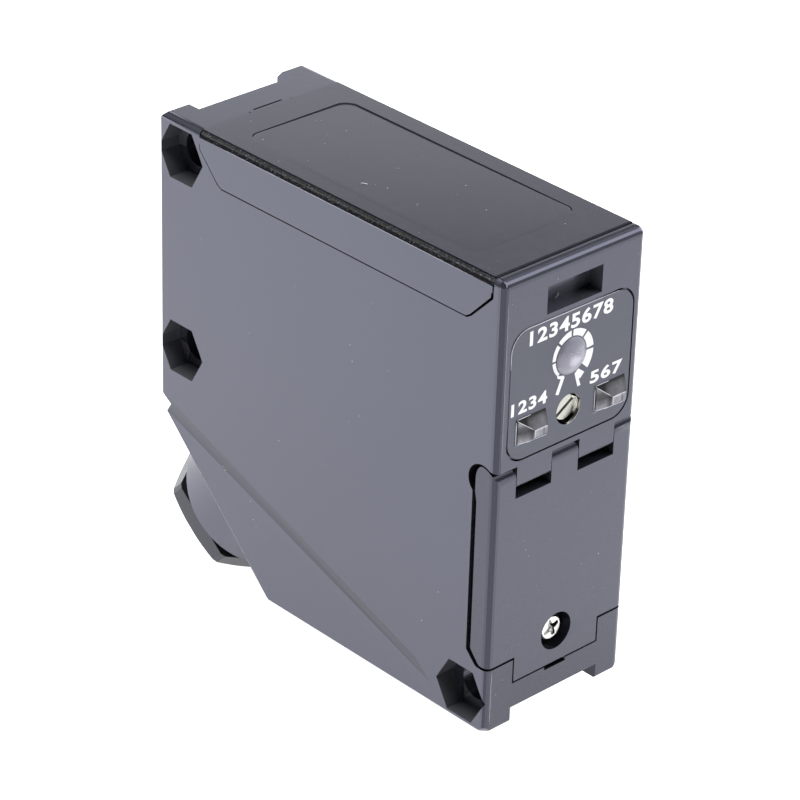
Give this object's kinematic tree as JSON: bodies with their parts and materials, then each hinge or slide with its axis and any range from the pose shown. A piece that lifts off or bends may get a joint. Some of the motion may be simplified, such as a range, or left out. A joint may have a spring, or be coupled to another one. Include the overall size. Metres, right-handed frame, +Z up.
{
  "type": "diffuse photoelectric sensor",
  "caption": "Square plastic photoelectric sensor with cable gland on a 45 degree corner, cross mounting holes, hinged wiring cover and a geared distance adjuster with pointer dial.",
  "frame": {"origin": "centre of the upper cross hole where it opens in the far side wall, the wall that lies against a bracket", "axes": "+Z up, +X from the lens face to the operating panel, +Y out of the wall that lies against the bracket; the lens looks towards -X"},
  "size_m": [0.0736, 0.026, 0.0734],
  "materials": {
    "case_plastic": "satin dark blue-grey moulded plastic",
    "lid_plastic": "satin dark blue-grey moulded plastic",
    "panel_plastic": "satin dark blue-grey moulded plastic",
    "label_film": "satin grey face plate",
    "nut_plastic": "semi-gloss dark grey plastic",
    "black_rubber": "black rubber",
    "black_plastic": "matt black plastic",
    "steel": "bright steel",
    "brass_gear": "brass",
    "brass_clamp": "plated brass",
    "white_plastic": "natural acetal",
    "clear_plastic": "clear polycarbonate",
    "window_plastic": "dark red acrylic",
    "led_resin": "orange led resin",
    "board": "green circuit board",
    "relay_case": "blue relay case",
    "transformer_tape": "yellow tape and ferrite",
    "capacitor_sleeve": "dark sleeve"
  },
  "bodies": {
    "case": {"main_case": "case_plastic", "top_cover": "lid_plastic", "rear_panel": "panel_plastic", "label_plate": "label_film", "dial_window": "clear_plastic", "adjuster_oring": "black_rubber", "gear_plate": "white_plastic", "light_pipe_left": "clear_plastic", "light_pipe_right": "clear_plastic", "indicator_board": "board", "indicator_leds": "led_resin", "terminal_block": "black_plastic", "terminal_clamps": "brass_clamp", "terminal_screws": "steel", "mode_switch": "black_plastic", "gland_nut": "nut_plastic", "gland_seal": "black_rubber", "gland_bush": "black_rubber", "gland_washer": "steel", "lens_window": "window_plastic", "emitter_lens": "clear_plastic", "receiver_lens": "clear_plastic", "optics_frame": "black_plastic", "emitter_led": "led_resin", "main_board": "board", "power_board": "board", "relay": "relay_case", "transformer": "transformer_tape", "capacitors": "capacitor_sleeve"},
    "cover": {"terminal_cover": "panel_plastic", "cover_gasket": "black_rubber", "cover_screw": "steel", "hinge_pin": "steel"},
    "dial": {"distance_pointer": "black_plastic", "dial_gear": "white_plastic"},
    "adjuster": {"adjuster_screw": "steel", "adjuster_pinion": "brass_gear"},
    "idler": {"idler_gear": "white_plastic"},
    "receiver": {"receiver_slide": "white_plastic", "photodiode": "black_plastic"},
    "selector": {"mode_knob": "white_plastic"}
  },
  "joints": [
    {"name": "cover_hinge", "type": "hinge", "parent": "case", "child": "cover", "pos_m": [0.06073, -0.0129, -0.02456], "axis": [0, -1, 0], "range_deg": [0, 74]},
    {"name": "dial_turn", "type": "hinge", "parent": "case", "child": "dial", "pos_m": [0.05843, -0.0129, -0.00936], "axis": [-1, 0, 0], "range_deg": [0, 290]},
    {"name": "adjuster_turn", "type": "hinge", "parent": "case", "child": "adjuster", "pos_m": [0.05843, -0.0129, -0.01726], "axis": [-1, 0, 0], "range_deg": [0, 1450]},
    {"name": "idler_turn", "type": "hinge", "parent": "case", "child": "idler", "pos_m": [0.05843, -0.01021, -0.01647], "axis": [-1, 0, 0], "range_deg": [-1087.5, 0]},
    {"name": "receiver_travel", "type": "slide", "parent": "case", "child": "receiver", "axis": [0, 0, 1], "range_m": [0, 0.002]},
    {"name": "mode_select", "type": "slide", "parent": "case", "child": "selector", "axis": [0, 1, 0], "range_m": [0, 0.003]}
  ],
  "couplings": [
    {"joint": "adjuster_turn", "follows": "dial_turn", "ratio": 5},
    {"joint": "idler_turn", "follows": "dial_turn", "ratio": -3.75},
    {"joint": "receiver_travel", "follows": "dial_turn", "m_per_rad": 0.000395}
  ]
}
